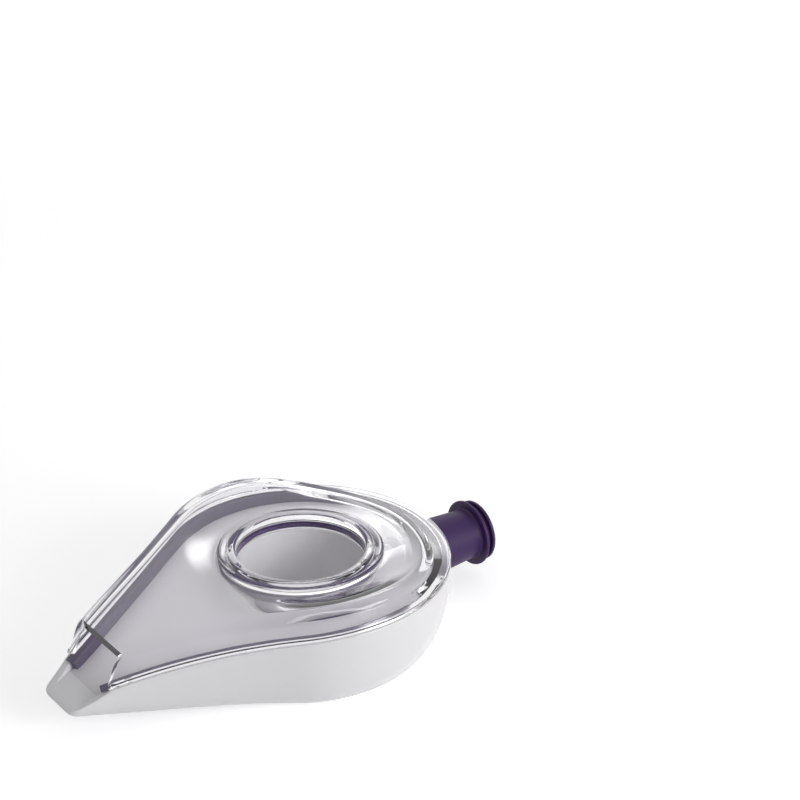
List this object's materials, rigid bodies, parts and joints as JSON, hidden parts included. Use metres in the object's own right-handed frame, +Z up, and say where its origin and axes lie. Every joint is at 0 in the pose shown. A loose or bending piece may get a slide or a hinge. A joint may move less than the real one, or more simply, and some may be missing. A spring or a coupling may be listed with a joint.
{
  "type": "wine filter",
  "caption": "Drop-shaped pouring filter for a wine bottle: a white bowl and tray under a clear cover, with a round hole for the neck, an open spout and a soft stopper.",
  "frame": {"origin": "on the axis of the hole for the bottle's neck, at the plane that the base rests on", "axes": "+Z up along the hole's axis; +X from the hole towards the stopper's free end, so the spout points along -X"},
  "size_m": [0.1484, 0.088, 0.034],
  "materials": {
    "white_plastic": "polished opaque white",
    "white_satin_plastic": "satin opaque white",
    "clear_plastic": "clear polished",
    "purple_silicone": "satin dark purple",
    "steel": "etched sheet"
  },
  "bodies": {
    "root": {"base": "white_plastic", "tray": "white_satin_plastic", "cover": "clear_plastic", "rim_seal": "purple_silicone", "collar_seal": "purple_silicone", "stopper": "purple_silicone", "filter_screen": "steel"}
  },
  "joints": []
}
